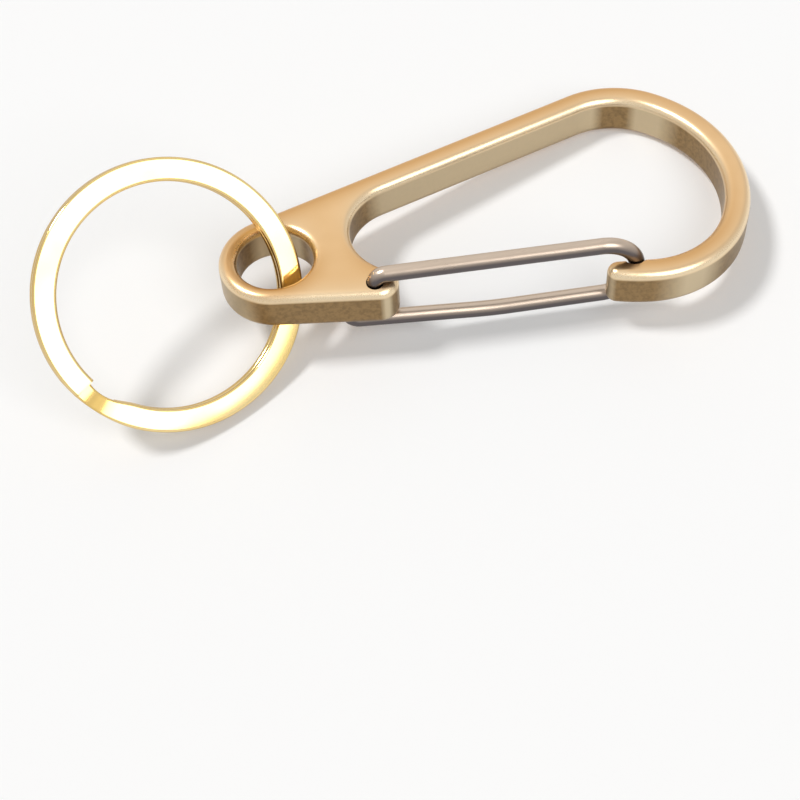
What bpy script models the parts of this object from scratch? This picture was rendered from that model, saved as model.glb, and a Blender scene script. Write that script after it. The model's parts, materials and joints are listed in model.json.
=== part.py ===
"""Key carabiner of solid brass with a sprung wire gate and a flat split ring through its eye.

The pieces are drawn in the body's own frame: the eye's centre at the origin, the body's mid-plane at z = 0,
the hook end towards +x, the spine on the +y side and the gate on the -y side. The finished object is then
laid down as it rests on a table, on the ring and the hook's lower edge, with the middle of its footprint at
the origin. Lengths are in metres and angles in degrees.
"""

import math
from typing import NamedTuple

import bmesh
import bpy
from mathutils import Matrix, Vector
from mathutils.geometry import intersect_point_tri

# Body
BODY_THICKNESS = 0.005
EDGE_ROUNDING = 0.0010
BAR_WIDTH = 0.0029
EYE_RADIUS = 0.0063
EYE_HOLE_RADIUS = 0.00427
SPINE_LENGTH = 0.0417
SPINE_RISE = 14.5
BEND_RADIUS = 0.0113
BEND_SWEEP = 54.5
END_RADIUS = 0.0172
END_SWEEP = 86.0
GATE_BEND_RADIUS = 0.0123
GATE_BEND_SWEEP = 65.0
NOSE_RADIUS = 0.0205
NOSE_SWEEP = 11.0
NOSE_TIP_RADIUS = 0.00125

# Toe, the end of the body that carries the gate
CROTCH_RADIUS = 0.0066
CROTCH_FROM_EYE = 0.0151
TOE_LENGTH = 0.0137
TOE_SIDE_SLOPE = -12.0
TOE_INNER_CORNER_RADIUS = 0.0012
TOE_OUTER_CORNER_RADIUS = 0.0022

# Wire gate
WIRE_RADIUS = 0.0009
TOP_LEG_CLEARANCE = 0.00015
BOTTOM_LEG_CLEARANCE = 0.00025
TENON_LENGTH = 0.0012
TENON_CLEARANCE = 0.00035
TENON_BEND_RADIUS = 0.0013
TENON_FROM_SIDE = 0.00184
TOP_TENON_FROM_END = 0.0026
TENON_OFFSET = 0.0032
LOOP_TOP = 0.0051
LOOP_BOTTOM = 0.0032
BOTTOM_LEG_BOW = 0.0007
BOTTOM_LEG_BEND_RADIUS = 0.040
LOOP_BEND_RADIUS = 0.0039
LOOP_PAST_TIP = 0.0022
LOOP_TWIST = 0.0003
NOTCH_DEPTH = 0.00114
NOTCH_CLEARANCE = 0.00035

# Split ring
RING_RADIUS = 0.0150
RING_BAND = 0.0026
STRIP_THICKNESS = 0.00095
STRIP_GAP = 0.0001
STRIP_ROUNDING = 0.00035
RING_IN_HOLE = 0.00125
RING_LEAN = 49.0
RING_PITCH = 9.0
RING_YAW = 10.0
CRANK_ANGLE = 222.0
CRANK_SWEEP = 13.0
STRIP_END_SWEEP = 1.5
NECK_SWEEP = 18.0
NECK_SHARE = 0.28
NECK_SHIFT = 0.0003

# Facets
OUTLINE_STEP = 7.0
EYE_HOLE_SIDES = 48
WIRE_STEP = 12.0
STRIP_STEP = 5.0
CRANK_STEP = 2.0
ROUNDING_STEPS = 2
WIRE_ROUNDING = 3
TENON_HOLE_SIDES = 24
LOOP_NOTCH_SHARE = 0.25
SHARP_ANGLE = 35.0

# Colours and roughness
BRASS_COLOUR = (0.60, 0.40, 0.17)
BRASS_ROUGHNESS = 0.35
STEEL_COLOUR = (0.45, 0.43, 0.42)
STEEL_ROUGHNESS = 0.2
GOLD_COLOUR = (0.83, 0.60, 0.22)
GOLD_ROUGHNESS = 0.12

RIGHT_ANGLE = 90.0
FULL_TURN = 360.0
WELD_DISTANCE = 0.000001
LEAST_STEP = 0.00007
CUT_OVERRUN = 0.001


class Arc(NamedTuple):
    """Arc of an outline, from one direction to another as seen from its centre."""

    centre: Vector
    radius: float
    start: float
    end: float


def polar(angle, radius=1.0):
    """Point in the plane at an angle in degrees and a distance from the origin."""
    return Vector((math.cos(math.radians(angle)), math.sin(math.radians(angle)))) * radius


def arc_points(arc, step=OUTLINE_STEP):
    """Points along an arc, both ends included."""
    count = max(1, math.ceil(abs(arc.end - arc.start) / step))
    angles = [arc.start + (arc.end - arc.start) * i / count for i in range(count + 1)]
    return [arc.centre + polar(angle, arc.radius) for angle in angles]


def angle_of(vector):
    """Direction of a plane vector in degrees."""
    return math.degrees(math.atan2(vector.y, vector.x))


def hook_arcs():
    """Outer arcs of the hook end from the spine round to the nose, each tangent to the one before."""
    normal = RIGHT_ANGLE + SPINE_RISE
    point = polar(normal, EYE_RADIUS) + polar(SPINE_RISE, SPINE_LENGTH)
    bends = (
        (BEND_RADIUS, BEND_SWEEP),
        (END_RADIUS, END_SWEEP),
        (GATE_BEND_RADIUS, GATE_BEND_SWEEP),
        (NOSE_RADIUS, NOSE_SWEEP),
    )
    arcs = []
    for radius, sweep in bends:
        centre = point - polar(normal, radius)
        arcs.append(Arc(centre, radius, normal, normal - sweep))
        normal -= sweep
        point = centre + polar(normal, radius)
    return arcs


def nose_tip():
    """Centre of the nose's rounded tip and the direction in which its inner face looks."""
    outer, bend = hook_arcs()[-1], hook_arcs()[-2]
    centre = outer.centre + polar(outer.end, outer.radius - NOSE_TIP_RADIUS)
    across = bend.centre - centre
    reach = NOSE_TIP_RADIUS + bend.radius - BAR_WIDTH
    return centre, angle_of(across) + math.degrees(math.acos(reach / across.length))


def crotch():
    """Arc of the opening's small end, from the spine's inner face to the toe's inner corner."""
    up = RIGHT_ANGLE + SPINE_RISE
    depth = EYE_RADIUS - BAR_WIDTH - CROTCH_RADIUS
    centre = polar(up, depth) + polar(SPINE_RISE, CROTCH_FROM_EYE)
    short = TOE_LENGTH - TOE_INNER_CORNER_RADIUS - centre.dot(polar(TOE_SIDE_SLOPE))
    end = TOE_SIDE_SLOPE - math.degrees(math.acos(short / (CROTCH_RADIUS + TOE_INNER_CORNER_RADIUS)))
    return Arc(centre, CROTCH_RADIUS, up, end + FULL_TURN)


def toe_corners():
    """Rounded inner and outer corners of the toe's end face."""
    end, side = TOE_SIDE_SLOPE, TOE_SIDE_SLOPE - RIGHT_ANGLE
    small, inner_radius, outer_radius = crotch(), TOE_INNER_CORNER_RADIUS, TOE_OUTER_CORNER_RADIUS
    inner = small.centre + polar(small.end, small.radius + inner_radius)
    outer = polar(end, TOE_LENGTH - outer_radius) + polar(side, EYE_RADIUS - outer_radius)
    opposite = small.end - FULL_TURN / 2
    return Arc(inner, inner_radius, opposite, end), Arc(outer, outer_radius, end, side)


def body_outline():
    """Closed outline of the body: toe, eye, spine, the hook's outside and back along its inside."""
    bend, end, gate_bend, nose = hook_arcs()
    tip, face = nose_tip()
    side = TOE_SIDE_SLOPE - RIGHT_ANGLE
    eye = Arc(Vector((0, 0)), EYE_RADIUS, side, bend.start - FULL_TURN)
    tip_arc = Arc(tip, NOSE_TIP_RADIUS, nose.end, face - FULL_TURN)
    inner = [
        Arc(gate_bend.centre, gate_bend.radius - BAR_WIDTH, face - FULL_TURN / 2, gate_bend.start),
        Arc(end.centre, end.radius - BAR_WIDTH, end.end, end.start),
        Arc(bend.centre, bend.radius - BAR_WIDTH, bend.end, bend.start),
    ]
    inner_corner, outer_corner = toe_corners()
    arcs = [outer_corner, eye, bend, end, gate_bend, nose, tip_arc, *inner, crotch(), inner_corner]
    points = []
    for arc in arcs:
        points += [p for p in arc_points(arc) if not points or (p - points[-1]).length > LEAST_STEP]
    return points


def circle_points(centre, radius, sides):
    """Points of a closed circle."""
    return [centre + polar(FULL_TURN * i / sides, radius) for i in range(sides)]


def material(name, colour, roughness):
    """Metal finish of one piece."""
    made = bpy.data.materials.new(name)
    made.use_nodes = True
    shader = made.node_tree.nodes["Principled BSDF"]
    shader.inputs["Base Color"].default_value = (*colour, 1)
    shader.inputs["Metallic"].default_value = 1
    shader.inputs["Roughness"].default_value = roughness
    return made


def curve_of(name, loops, closed, flat=False):
    """Curve object through straight-sided loops of points."""
    data = bpy.data.curves.new(name, "CURVE")
    data.dimensions = "2D" if flat else "3D"
    data.use_fill_caps = not flat
    for loop in loops:
        spline = data.splines.new("POLY")
        spline.points.add(len(loop) - 1)
        for point, place in zip(spline.points, loop):
            point.co = (*place.to_3d(), 1)
        spline.use_cyclic_u = closed
    obj = bpy.data.objects.new(name, data)
    bpy.context.scene.collection.objects.link(obj)
    return obj


def mesh_from(curve):
    """Mesh object in place of a curve object, with the curve's caps joined to its sides."""
    bpy.context.view_layer.update()
    evaluated = curve.evaluated_get(bpy.context.evaluated_depsgraph_get())
    mesh = bpy.data.meshes.new_from_object(evaluated)
    shape = bmesh.new()
    shape.from_mesh(mesh)
    bmesh.ops.remove_doubles(shape, verts=shape.verts, dist=WELD_DISTANCE)
    bmesh.ops.recalc_face_normals(shape, faces=shape.faces)
    shape.to_mesh(mesh)
    shape.free()
    name = curve.name
    bpy.data.objects.remove(curve)
    obj = bpy.data.objects.new(name, mesh)
    mesh.name = name
    return obj


def link(obj, collection, finish=None):
    """Put an object in a collection, with its finish, and out of any other."""
    for old in obj.users_collection:
        old.objects.unlink(obj)
    collection.objects.link(obj)
    if finish:
        obj.data.materials.append(finish)
        obj.data.shade_smooth()
        obj.data.set_sharp_from_angle(angle=math.radians(SHARP_ANGLE))


def cut(obj, cutter, cutters):
    """Take a cutter's shape out of an object and hide the cutter."""
    link(cutter, cutters)
    cutter.hide_render = True
    cutter.display_type = "WIRE"
    modifier = obj.modifiers.new(f"Cut {cutter.name}", "BOOLEAN")
    modifier.operation = "DIFFERENCE"
    modifier.object = cutter


def make_body():
    """Plate with rounded edges and the key eye."""
    eye_hole = circle_points(Vector((0, 0)), EYE_HOLE_RADIUS, EYE_HOLE_SIDES)
    curve = curve_of("carabiner_body", [body_outline(), eye_hole], closed=True, flat=True)
    curve.data.fill_mode = "BOTH"
    curve.data.extrude = BODY_THICKNESS / 2 - EDGE_ROUNDING
    curve.data.bevel_depth = EDGE_ROUNDING
    curve.data.bevel_resolution = ROUNDING_STEPS
    curve.data.offset = -EDGE_ROUNDING
    return mesh_from(curve)


def tenon_places():
    """Plan positions of the gate's top and bottom tenons in the toe."""
    along, across = polar(TOE_SIDE_SLOPE), polar(TOE_SIDE_SLOPE - RIGHT_ANGLE)
    from_side = across * (EYE_RADIUS - TENON_FROM_SIDE)
    top = along * (TOE_LENGTH - TOP_TENON_FROM_END) + from_side
    return top, top - along * TENON_OFFSET


def tenon_hole(name, place, side):
    """Cutter for a blind hole, on the top face (side 1) or the bottom face (side -1)."""
    shape = bmesh.new()
    depth = TENON_LENGTH + TENON_CLEARANCE + CUT_OVERRUN
    radius = WIRE_RADIUS + TENON_CLEARANCE
    bmesh.ops.create_cone(
        shape, cap_ends=True, segments=TENON_HOLE_SIDES, radius1=radius, radius2=radius, depth=depth
    )
    mesh = bpy.data.meshes.new(name)
    shape.to_mesh(mesh)
    shape.free()
    obj = bpy.data.objects.new(name, mesh)
    obj.location = (*place, side * (BODY_THICKNESS / 2 + CUT_OVERRUN - depth / 2))
    return obj


def rounded_route(corners, radii):
    """Route through corners in space, each rounded to its radius."""
    points = [corners[0]]
    for before, corner, after, radius in zip(corners, corners[1:], corners[2:], radii):
        into, out = (corner - before).normalized(), (after - corner).normalized()
        turn, axis = into.angle(out), into.cross(out)
        start = corner - into * radius * math.tan(turn / 2)
        centre = start + axis.cross(into).normalized() * radius
        count = max(1, math.ceil(math.degrees(turn) / WIRE_STEP))
        turns = [Matrix.Rotation(turn * i / count, 3, axis) for i in range(count + 1)]
        points += [centre + rotation @ (start - centre) for rotation in turns]
    return [*points, corners[-1]]


def gate_corners():
    """Corners of the wire's route, from the top tenon round the loop to the bottom tenon."""
    tip, face = nose_tip()
    off_face = NOSE_TIP_RADIUS - NOTCH_DEPTH + NOTCH_CLEARANCE + WIRE_RADIUS
    loop = tip + polar(face, off_face) + polar(face - RIGHT_ANGLE, LOOP_PAST_TIP)
    twist = polar(face, LOOP_TWIST)
    above = BODY_THICKNESS / 2 + TOP_LEG_CLEARANCE + WIRE_RADIUS
    below = BODY_THICKNESS / 2 + BOTTOM_LEG_CLEARANCE + WIRE_RADIUS
    tenon_end = BODY_THICKNESS / 2 - TENON_LENGTH
    top, bottom = tenon_places()
    leg_middle = Vector((*(loop + twist + bottom) / 2, -(LOOP_BOTTOM + below) / 2 - BOTTOM_LEG_BOW))
    return [
        Vector((*top, tenon_end)),
        Vector((*top, above)),
        Vector((*(loop - twist), LOOP_TOP)),
        Vector((*(loop + twist), -LOOP_BOTTOM)),
        leg_middle,
        Vector((*bottom, -below)),
        Vector((*bottom, -tenon_end)),
    ]


def gate_route():
    """Centre line of the gate's wire."""
    loop_bends = (LOOP_BEND_RADIUS, LOOP_BEND_RADIUS, BOTTOM_LEG_BEND_RADIUS)
    return rounded_route(gate_corners(), (TENON_BEND_RADIUS, *loop_bends, TENON_BEND_RADIUS))


def gate_pivot():
    """Point halfway between the tenons' middles, and the direction from the bottom one to the top one."""
    top, bottom = tenon_places()
    height = BODY_THICKNESS / 2 - TENON_LENGTH / 2
    low, high = Vector((*bottom, -height)), Vector((*top, height))
    return (low + high) / 2, (high - low).normalized()


def wire_along(name, points, radius):
    """Round wire along a route, as a mesh."""
    curve = curve_of(name, [points], closed=False)
    curve.data.bevel_depth = radius
    curve.data.bevel_resolution = WIRE_ROUNDING
    return mesh_from(curve)


def make_gate():
    """Wire gate, with its origin on its pivot line, and its place in the body's frame."""
    pivot = gate_pivot()[0]
    return wire_along("wire_gate", [p - pivot for p in gate_route()], WIRE_RADIUS), Matrix.Translation(pivot)


def loop_notch():
    """Cutter for the notch in the nose where the loop lies: the loop's route with a clearance round it."""
    corners = gate_corners()
    ends = [corners[2].lerp(corners[1], LOOP_NOTCH_SHARE), corners[3].lerp(corners[4], LOOP_NOTCH_SHARE)]
    route = rounded_route([ends[0], corners[2], corners[3], ends[1]], (LOOP_BEND_RADIUS, LOOP_BEND_RADIUS))
    return wire_along("loop_notch", route, WIRE_RADIUS + NOTCH_CLEARANCE)


def ring_frame():
    """Matrix of the ring: x from its centre to the eye, y along its strip there, z along its own axis."""
    pitch, yaw, lean = (math.radians(angle) for angle in (RING_PITCH, RING_YAW, RING_LEAN))
    level = Vector((*polar(RING_YAW), 0)) * math.cos(pitch)
    to_eye = level - Vector((0, 0, math.sin(pitch)))
    sideways = Vector((-math.sin(yaw), math.cos(yaw), 0))
    through = Matrix.Rotation(lean, 3, to_eye) @ sideways
    turn = Matrix((to_eye, through, to_eye.cross(through))).transposed().to_4x4()
    centre = Vector((RING_IN_HOLE, 0, 0)) - to_eye * (RING_RADIUS - RING_BAND / 2)
    return Matrix.Translation(centre) @ turn


def strip_height(angle):
    """Height of the strip's middle along its two turns: the lower layer, the crank, then the upper layer."""
    climb = (angle - FULL_TURN - CRANK_ANGLE + CRANK_SWEEP / 2) / CRANK_SWEEP
    share = min(max(climb, 0), 1)
    return (STRIP_THICKNESS + STRIP_GAP) * (share * share * (3 - 2 * share) - 1 / 2)


def neck_at(angle):
    """How far the strip is narrowed at an angle: 1 in the crank and at the start under it, fading to 0."""
    away = min(abs(angle - CRANK_ANGLE), abs(angle - FULL_TURN - CRANK_ANGLE)) / NECK_SWEEP
    return max(0, 1 - away * away) ** 2


def strip_angles():
    """Angles along the strip, closer together in the crank."""
    start = CRANK_ANGLE + CRANK_SWEEP / 2 + STRIP_END_SWEEP
    crank = CRANK_ANGLE + FULL_TURN - CRANK_SWEEP / 2
    end = crank + FULL_TURN - STRIP_END_SWEEP
    top = crank + CRANK_SWEEP
    angles = []
    for first, last, step in ((start, crank, STRIP_STEP), (crank, top, CRANK_STEP), (top, end, STRIP_STEP)):
        count = math.ceil((last - first) / step)
        angles += [first + (last - first) * i / count for i in range(count)]
    return [*angles, end]


def make_ring():
    """Split ring of flat strip wound twice, about its own centre, and its place in the body's frame."""
    section = curve_of("strip_section", [strip_section()], closed=True, flat=True)
    radius = RING_RADIUS - RING_BAND / 2
    angles = strip_angles()
    route = [Vector((*polar(a, radius + NECK_SHIFT * neck_at(a)), strip_height(a))) for a in angles]
    curve = curve_of("split_ring", [route], closed=False)
    for point, angle in zip(curve.data.splines[0].points, angles):
        point.radius = 1 - NECK_SHARE * neck_at(angle)
    curve.data.twist_mode = "Z_UP"
    curve.data.bevel_mode = "OBJECT"
    curve.data.bevel_object = section
    ring = mesh_from(curve)
    bpy.data.objects.remove(section)
    return ring, ring_frame()


def strip_section():
    """Section of the ring's strip, with rounded corners."""
    half = Vector((RING_BAND / 2 - STRIP_ROUNDING, STRIP_THICKNESS / 2 - STRIP_ROUNDING))
    corners = ((1, 1, 0), (-1, 1, 1), (-1, -1, 2), (1, -1, 3))
    points = []
    for across, up, quarter in corners:
        start = quarter * RIGHT_ANGLE
        arc = Arc(Vector((across * half.x, up * half.y)), STRIP_ROUNDING, start, start + RIGHT_ANGLE)
        points += arc_points(arc, RIGHT_ANGLE / ROUNDING_STEPS)
    return points


def triangles_of(obj, matrix):
    """Triangles of an object's finished mesh under a matrix."""
    bpy.context.view_layer.update()
    mesh = obj.evaluated_get(bpy.context.evaluated_depsgraph_get()).data
    mesh.calc_loop_triangles()
    spots = [matrix @ vertex.co for vertex in mesh.vertices]
    return [[spots[index] for index in triangle.vertices] for triangle in mesh.loop_triangles]


def mass_centre(triangles):
    """Centre of the volume that closed surfaces hold."""
    total, moment = 0, Vector((0, 0, 0))
    for a, b, c in triangles:
        volume = a.dot(b.cross(c))
        total += volume
        moment += (a + b + c) * volume
    return moment / (total * 4)


def table_normal(triangles):
    """Upward direction of the table: of the hull's faces that the mass rests steadily on, the lowest."""
    hull = bmesh.new()
    for triangle in triangles:
        for point in triangle:
            hull.verts.new(point)
    bmesh.ops.convex_hull(hull, input=hull.verts)
    bmesh.ops.triangulate(hull, faces=hull.faces)
    centre = mass_centre(triangles)
    steady = [face for face in hull.faces if intersect_point_tri(centre, *(v.co for v in face.verts))]
    up = -min(steady, key=lambda face: face.normal.z).normal
    hull.free()
    return up


def rest_on_table(placed):
    """Turn the pieces to lie on the table, with the middle of their footprint at the origin."""
    triangles = [triangle for obj, matrix in placed for triangle in triangles_of(obj, matrix)]
    turn = table_normal(triangles).rotation_difference(Vector((0, 0, 1))).to_matrix().to_4x4()
    spots = [turn @ point for triangle in triangles for point in triangle]
    low = [min(spot[axis] for spot in spots) for axis in range(3)]
    high = [max(spot[axis] for spot in spots) for axis in range(3)]
    footing = Vector(((low[0] + high[0]) / 2, (low[1] + high[1]) / 2, low[2]))
    for obj, matrix in placed:
        obj.matrix_world = Matrix.Translation(-footing) @ turn @ matrix


def main():
    """Build the carabiner."""
    for old in list(bpy.data.objects):
        bpy.data.objects.remove(old)
    parts = bpy.data.collections.new("key_carabiner")
    cutters = bpy.data.collections.new("cutters")
    for collection in (parts, cutters):
        bpy.context.scene.collection.children.link(collection)
    body, (gate, gate_place), (ring, ring_place) = make_body(), make_gate(), make_ring()
    link(body, parts, material("satin_brass", BRASS_COLOUR, BRASS_ROUGHNESS))
    link(gate, parts, material("bright_steel", STEEL_COLOUR, STEEL_ROUGHNESS))
    link(ring, parts, material("gold_plate", GOLD_COLOUR, GOLD_ROUGHNESS))
    top, bottom = tenon_places()
    holes = tenon_hole("top_tenon_hole", top, 1), tenon_hole("bottom_tenon_hole", bottom, -1)
    for cutter in (*holes, loop_notch()):
        cut(body, cutter, cutters)
        cutter.parent = body
    rest_on_table([(body, Matrix.Identity(4)), (gate, gate_place), (ring, ring_place)])


main()
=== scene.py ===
"""Studio scene of a solid brass key carabiner with a sprung wire gate and a split ring through its eye.

Each piece is drawn in the carabiner's own frame, where the eye's centre is the origin, the body's mid-plane is z = 0,
the hook end lies towards +x, the spine on the +y side and the gate on the -y side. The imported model's mounts and
joints give that frame's place on the table. Lengths are in metres and angles in degrees.
"""

import json
import logging
import math
from collections.abc import Iterator, Mapping, Sequence
from contextlib import contextmanager
from dataclasses import dataclass, field
from enum import Enum
from typing import NamedTuple

import bmesh
import bpy
from mathutils import Matrix, Vector
from mathutils.kdtree import KDTree


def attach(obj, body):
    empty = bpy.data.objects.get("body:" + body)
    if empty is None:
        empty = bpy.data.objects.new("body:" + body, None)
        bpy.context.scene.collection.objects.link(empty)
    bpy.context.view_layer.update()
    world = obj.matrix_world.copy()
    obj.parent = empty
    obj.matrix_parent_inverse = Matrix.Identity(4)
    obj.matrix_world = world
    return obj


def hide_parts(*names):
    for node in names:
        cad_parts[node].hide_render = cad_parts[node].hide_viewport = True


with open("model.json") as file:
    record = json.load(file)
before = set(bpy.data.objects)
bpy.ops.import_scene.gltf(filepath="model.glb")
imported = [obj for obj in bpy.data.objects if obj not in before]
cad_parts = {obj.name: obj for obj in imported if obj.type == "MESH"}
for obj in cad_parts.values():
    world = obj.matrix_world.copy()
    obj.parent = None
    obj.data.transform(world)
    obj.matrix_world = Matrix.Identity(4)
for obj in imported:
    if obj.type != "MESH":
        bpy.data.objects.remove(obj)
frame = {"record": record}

LOG = logging.getLogger("key_carabiner")
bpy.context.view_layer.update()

RIGHT_ANGLE = 90.0
FULL_TURN = 360.0
SHARP_ANGLE = 35.0
PER_MM = 1000.0
WELD_DISTANCE = 0.000001
CUT_OVERRUN = 0.001
NOISE_MIDDLE = 0.5
NOISE_LAYERS = 2.0
NOISE_FADE = 0.6

Colour = tuple[float, float, float]
Triple = tuple[float, float, float]  # along x, y and z
Band = tuple[float, float]  # both ends of a range
Bend = tuple[float, float]  # radius and turn
Stop = tuple[float, float]  # angle and the value there


class Body(Enum):
    """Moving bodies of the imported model."""

    FRAME = "body"
    GATE = "gate"
    RING = "ring"


class Node(Enum):
    """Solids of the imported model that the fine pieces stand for."""

    FRAME = "carabiner_body"
    GATE = "wire_gate"
    RING = "split_ring"


class Slot(Enum):
    """Material slots of the record."""

    BRASS = "satin_brass"
    STEEL = "bright_steel"
    GOLD = "gold_plate"


class Mark(Enum):
    """Numbers stored at the pieces' points, between 0 and 1."""

    EDGE = "edge_wear_and_highlight"
    WALL = "wall"
    DARK_BY_FACING = "wall_dark_by_facing"
    UNDERSIDE_SHADE = "underside_shade"
    FAR_RIM_SHADE = "far_rim_shade"
    SIDE = "strip_side_shade"
    CRANK = "crank"


BODY_MARKS = (Mark.EDGE, Mark.WALL, Mark.DARK_BY_FACING, Mark.FAR_RIM_SHADE)


# Shader sheets


class Socket:
    """Output of a node, with arithmetic on its number."""

    def __init__(self, sheet: "Sheet", output: bpy.types.NodeSocket) -> None:
        """Keep the output and the sheet that it is on."""
        self.sheet = sheet
        self.output = output

    def _maths(self, operation: str, first: "Socket | float", second: "Socket | float") -> "Socket":
        """Math node on two values."""
        return self.sheet.node("ShaderNodeMath", {"operation": operation}, {0: first, 1: second})

    def __add__(self, other: "Socket | float") -> "Socket":
        """Sum."""
        return self._maths("ADD", self, other)

    def __radd__(self, other: float) -> "Socket":
        """Sum with a number on the left."""
        return self._maths("ADD", other, self)

    def __sub__(self, other: "Socket | float") -> "Socket":
        """Difference."""
        return self._maths("SUBTRACT", self, other)

    def __rsub__(self, other: float) -> "Socket":
        """Difference from a number."""
        return self._maths("SUBTRACT", other, self)

    def __mul__(self, other: "Socket | float") -> "Socket":
        """Product."""
        return self._maths("MULTIPLY", self, other)

    def __rmul__(self, other: float) -> "Socket":
        """Product with a number on the left."""
        return self._maths("MULTIPLY", other, self)

    def __or__(self, other: "Socket") -> "Socket":
        """Larger of two."""
        return self._maths("MAXIMUM", self, other)


class Sheet:
    """Node tree of a material or of the world."""

    def __init__(self, owner: bpy.types.Material | bpy.types.World) -> None:
        """Clear the owner's tree.

        Args:
            owner: Material or world that the tree belongs to.
        """
        self.owner = owner
        owner.use_nodes = True
        self.tree = owner.node_tree
        self.tree.nodes.clear()

    @classmethod
    def for_material(cls, name: str) -> "Sheet":
        """Sheet of a new material."""
        return cls(bpy.data.materials.new(name))

    def node(
        self, kind: str, settings: Mapping[str, object], sockets: Mapping[int | str, object], output: int | str = 0
    ) -> Socket:
        """Add a node.

        Args:
            kind: Type of the node.
            settings: Its properties.
            sockets: Values or links of its inputs.
            output: Which output to give back.

        Returns:
            The chosen output.
        """
        made = self.tree.nodes.new(kind)
        for key, value in settings.items():
            setattr(made, key, value)
        for key, value in sockets.items():
            if isinstance(value, Socket):
                self.tree.links.new(value.output, made.inputs[key])
            else:
                made.inputs[key].default_value = value
        return Socket(self, made.outputs[output])

    def place(self) -> Socket:
        """Place on the piece in its own frame."""
        return self.node("ShaderNodeTexCoord", {}, {}, "Object")

    def stored(self, mark: Mark) -> Socket:
        """Number stored at the piece's points."""
        return self.node("ShaderNodeAttribute", {"attribute_name": mark.value}, {}, "Fac")

    def noise(self, place: Socket, per_mm: float | Triple) -> Socket:
        """Noise between 0 and 1.

        Args:
            place: Place on the piece.
            per_mm: Cells per millimetre, the same or one for each axis.

        Returns:
            The noise.
        """
        cells = Vector(per_mm if isinstance(per_mm, tuple) else (per_mm,) * 3) * PER_MM
        spread = self.node("ShaderNodeVectorMath", {"operation": "MULTIPLY"}, {0: place, 1: cells})
        inputs = {"Vector": spread, "Scale": 1.0, "Detail": NOISE_LAYERS, "Roughness": NOISE_FADE}
        return self.node("ShaderNodeTexNoise", {}, inputs)

    def within(self, value: Socket, band: Band, low: float = 0.0, high: float = 1.0) -> Socket:
        """Value carried smoothly from a band to another range and held there."""
        inputs = {0: value, 1: band[0], 2: band[1], 3: low, 4: high}
        return self.node("ShaderNodeMapRange", {"interpolation_type": "SMOOTHSTEP"}, inputs)

    def mixed(self, share: Socket, first: Colour | Socket, second: Colour | Socket) -> Socket:
        """Colour between two others."""
        ends = [c if isinstance(c, Socket) else (*c, 1.0) for c in (first, second)]
        return self.node("ShaderNodeMix", {"data_type": "RGBA"}, {0: share, 6: ends[0], 7: ends[1]}, 2)

    def seen(self) -> Socket:
        """Whether a ray makes the picture, directly, mirrored or through something clear.

        Returns:
            1 for such a ray, and 0 for one that only lights.
        """
        camera, glossy, clear = (
            self.node("ShaderNodeLightPath", {}, {}, f"Is {kind} Ray") for kind in ("Camera", "Glossy", "Transmission")
        )
        return camera | glossy | clear

    def metal(self, colour: Socket, roughness: Socket, relief: Socket, depth: float, strength: float) -> None:
        """Finish the sheet as a bare metal.

        Args:
            colour: Colour of its reflections.
            roughness: How dull it is.
            relief: Height of its fine relief.
            depth: Depth of the relief.
            strength: How strongly the relief shows.
        """
        bump = self.node("ShaderNodeBump", {}, {"Height": relief, "Distance": depth, "Strength": strength})
        inputs = {"Base Color": colour, "Metallic": 1.0, "Roughness": roughness, "Normal": bump}
        self.finish(self.node("ShaderNodeBsdfPrincipled", {}, inputs))

    def finish(self, shader: Socket) -> None:
        """Send a shader to the output.

        Args:
            shader: Finished shader of the sheet.
        """
        kind = "World" if isinstance(self.owner, bpy.types.World) else "Material"
        made = self.tree.nodes.new(f"ShaderNodeOutput{kind}")
        self.tree.links.new(shader.output, made.inputs["Surface"])


# Finishes


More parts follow.
